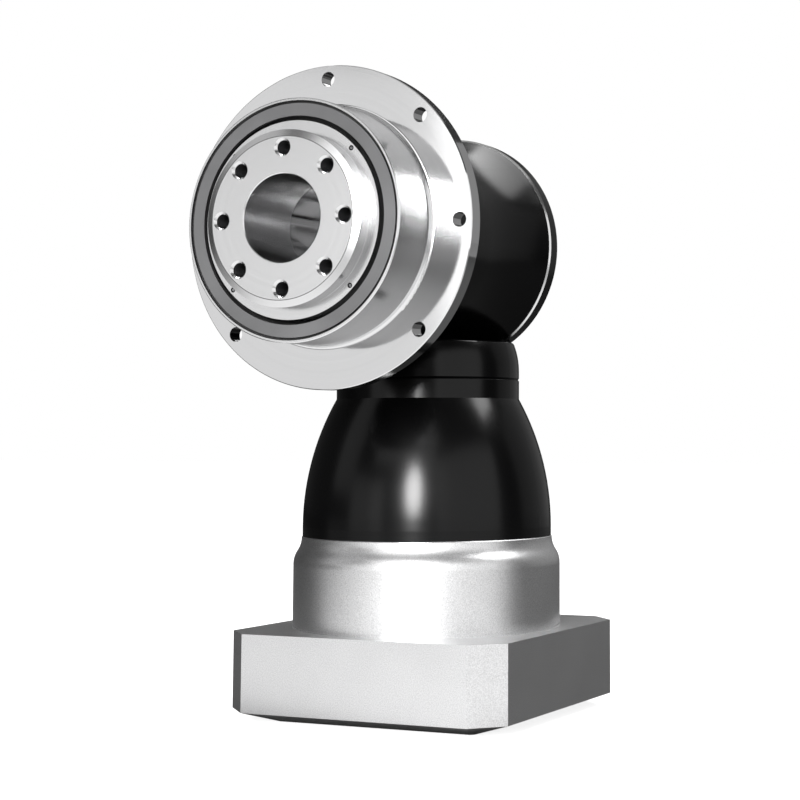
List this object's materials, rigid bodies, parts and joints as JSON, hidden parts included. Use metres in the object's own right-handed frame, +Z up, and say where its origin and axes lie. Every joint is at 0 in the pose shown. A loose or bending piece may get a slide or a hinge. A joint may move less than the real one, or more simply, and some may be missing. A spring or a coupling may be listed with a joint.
{
  "type": "right-angle hypoid gearbox",
  "caption": "Right-angle hypoid gearbox with a square motor plate, a black bell housing and a turning output flange.",
  "frame": {"origin": "on the input axis, on the motor face", "axes": "+Z up along the input axis, -Y the way the output flange faces, +X the side the output axis is offset to"},
  "size_m": [0.1219, 0.1738, 0.2453],
  "materials": {
    "black_paint": "glossy",
    "satin_aluminium": "fine blasted satin",
    "turned_steel": "fine turned",
    "ground_steel": "ground",
    "gear_steel": "case hardened and ground",
    "black_oxide_steel": "black oxide",
    "seal_rubber": "matte",
    "seal_face": "matte pressed sheet"
  },
  "bodies": {
    "housing": {"motor_plate": "satin_aluminium", "adapter_collar": "satin_aluminium", "motor_plate_screws": "black_oxide_steel", "adapter_collar_screws": "black_oxide_steel", "access_plug": "black_oxide_steel", "input_bell": "black_paint", "input_bell_screws": "black_oxide_steel", "main_housing": "black_paint", "neck_o_ring": "seal_rubber", "rear_cover": "black_paint", "rear_cover_screws": "black_oxide_steel", "rear_cover_o_ring": "seal_rubber", "flange_housing": "turned_steel", "flange_housing_screws": "black_oxide_steel", "flange_o_ring": "seal_rubber", "main_bearing_outer_ring": "ground_steel", "bearing_retaining_ring": "ground_steel", "output_shaft_seal": "seal_rubber", "seal_face_ring": "seal_face", "rear_bearing_outer_ring": "ground_steel", "upper_bearing_cup": "ground_steel", "lower_bearing_cup": "ground_steel", "bearing_adjust_ring": "black_oxide_steel", "input_shaft_seal": "seal_rubber"},
    "output": {"output_rotor": "turned_steel", "rotor_lock_nut": "black_oxide_steel", "main_bearing_inner_ring": "ground_steel", "rear_bearing_inner_ring": "ground_steel", "ring_gear": "gear_steel", "ring_gear_screws": "black_oxide_steel"},
    "input": {"pinion_shaft": "gear_steel", "upper_bearing_cone": "ground_steel", "lower_bearing_cone": "ground_steel", "bearing_spacer": "ground_steel", "pinion_lock_nut": "black_oxide_steel", "clamping_hub": "ground_steel", "clamp_ring": "black_oxide_steel", "clamp_screw": "black_oxide_steel"},
    "main_roller_set": {"main_bearing_rollers": "ground_steel"},
    "rear_roller_set": {"rear_bearing_rollers": "ground_steel"},
    "upper_roller_set": {"upper_bearing_rollers": "ground_steel"},
    "lower_roller_set": {"lower_bearing_rollers": "ground_steel"}
  },
  "joints": [
    {"name": "output_spin", "type": "hinge", "parent": "housing", "child": "output", "pos_m": [0.003, -0.1145, 0.1857], "axis": [0, 1, 0], "continuous": true},
    {"name": "input_spin", "type": "hinge", "parent": "housing", "child": "input", "pos_m": [0, 0, 0], "axis": [0, 0, 1], "continuous": true},
    {"name": "main_rollers_spin", "type": "hinge", "parent": "housing", "child": "main_roller_set", "pos_m": [0.003, -0.1145, 0.1857], "axis": [0, 1, 0], "continuous": true},
    {"name": "rear_rollers_spin", "type": "hinge", "parent": "housing", "child": "rear_roller_set", "pos_m": [0.003, -0.1145, 0.1857], "axis": [0, 1, 0], "continuous": true},
    {"name": "upper_rollers_spin", "type": "hinge", "parent": "housing", "child": "upper_roller_set", "pos_m": [0, 0, 0], "axis": [0, 0, 1], "continuous": true},
    {"name": "lower_rollers_spin", "type": "hinge", "parent": "housing", "child": "lower_roller_set", "pos_m": [0, 0, 0], "axis": [0, 0, 1], "continuous": true}
  ],
  "couplings": [
    {"joint": "input_spin", "follows": "output_spin", "ratio": -3},
    {"joint": "main_rollers_spin", "follows": "output_spin", "ratio": 0.4686},
    {"joint": "rear_rollers_spin", "follows": "output_spin", "ratio": 0.4528},
    {"joint": "upper_rollers_spin", "follows": "output_spin", "ratio": -1.2656},
    {"joint": "lower_rollers_spin", "follows": "output_spin", "ratio": -1.2656}
  ]
}
